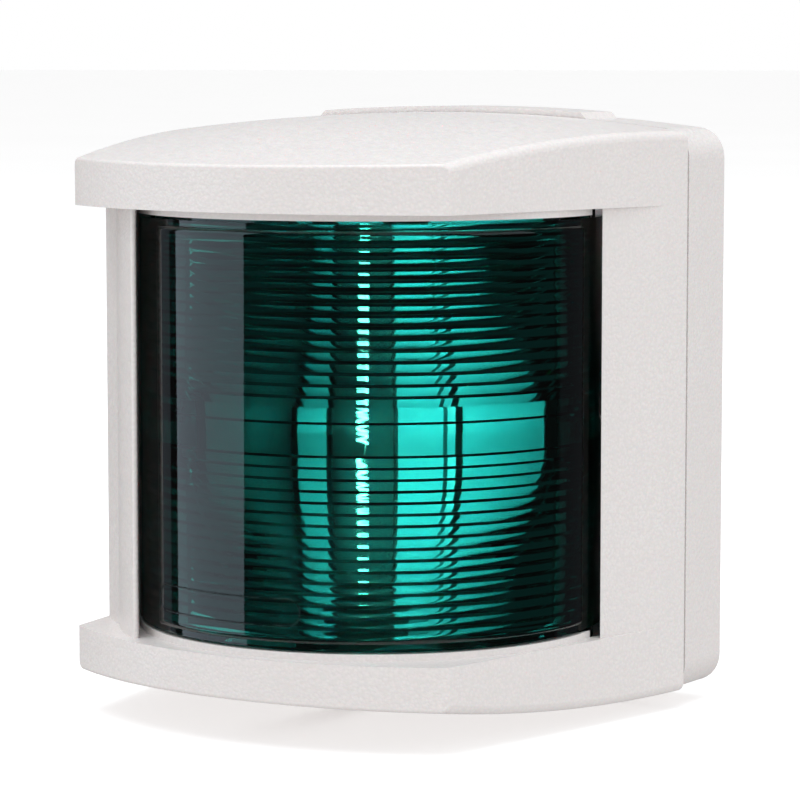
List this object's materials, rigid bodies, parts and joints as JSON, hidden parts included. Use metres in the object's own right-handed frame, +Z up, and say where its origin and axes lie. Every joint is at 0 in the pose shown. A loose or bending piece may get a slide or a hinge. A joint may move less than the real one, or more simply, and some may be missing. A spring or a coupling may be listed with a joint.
{
  "type": "navigation light",
  "caption": "Compact starboard side light: off-white housing with tilting front cover, ringed green wrap-round lens, sector screens and a tubular bulb in spring contacts.",
  "frame": {"origin": "middle of the base plate's back face, where it meets the wall", "axes": "+Y into the wall, +X ahead along the boat, +Z up; the lens faces -Y and +X"},
  "size_m": [0.0832, 0.0712, 0.0887],
  "materials": {
    "housing": "satin, warm off-white, finely grained",
    "carrier": "satin white",
    "screen": "matt black",
    "green_lens": "polished, deep green, transparent",
    "seal_rubber": "matt",
    "stainless": "turned",
    "brass": "turned",
    "plated_brass": "nickel plated",
    "bulb_glass": "clear",
    "filament": "drawn wire"
  },
  "bodies": {
    "base": {"base_plate": "housing", "seam_seal": "seal_rubber", "screw_insert": "brass", "cable_grommet": "seal_rubber", "lamp_carrier": "carrier", "carrier_screws": "stainless", "contact_strip_upper": "plated_brass", "contact_strip_lower": "plated_brass", "wire_clamp_upper": "plated_brass", "wire_clamp_lower": "plated_brass", "terminal_nuts": "brass"},
    "terminal_screw_upper": {"terminal_screw_upper": "brass"},
    "terminal_screw_lower": {"terminal_screw_lower": "brass"},
    "bulb": {"bulb_glass": "bulb_glass", "bulb_cap_upper": "plated_brass", "bulb_cap_lower": "plated_brass", "bulb_filament": "filament"},
    "cover": {"front_cover": "housing", "lens": "green_lens", "lens_seal": "seal_rubber", "sector_screen_aft": "screen", "sector_screen_ahead": "screen"},
    "cover_screw_ring": {"screw_o_ring": "seal_rubber"},
    "cover_screw": {"cover_screw": "stainless"}
  },
  "joints": [
    {"name": "cover_tilt", "type": "hinge", "parent": "base", "child": "cover", "pos_m": [0, -0.0111, 0.04405], "axis": [-1, 0, 0], "range_deg": [0, 60]},
    {"name": "cover_screw_travel", "type": "slide", "parent": "cover", "child": "cover_screw_ring", "axis": [0, -1, 0], "range_m": [0, 0.0045]},
    {"name": "cover_screw_turn", "type": "hinge", "parent": "cover_screw_ring", "child": "cover_screw", "pos_m": [0, -0.0136, -0.0409], "axis": [0, -1, 0], "range_deg": [0, 3240]},
    {"name": "bulb_pull", "type": "slide", "parent": "base", "child": "bulb", "axis": [0, -1, 0], "range_m": [0, 0.012]},
    {"name": "terminal_screw_upper_turn", "type": "hinge", "parent": "base", "child": "terminal_screw_upper", "pos_m": [0.0006, -0.022, 0.026], "axis": [0, -1, 0], "range_deg": [0, 720]},
    {"name": "terminal_screw_lower_turn", "type": "hinge", "parent": "base", "child": "terminal_screw_lower", "pos_m": [0.0006, -0.022, -0.026], "axis": [0, -1, 0], "range_deg": [0, 720]}
  ],
  "couplings": [
    {"joint": "cover_screw_turn", "follows": "cover_screw_travel", "rad_per_m": 12566}
  ]
}
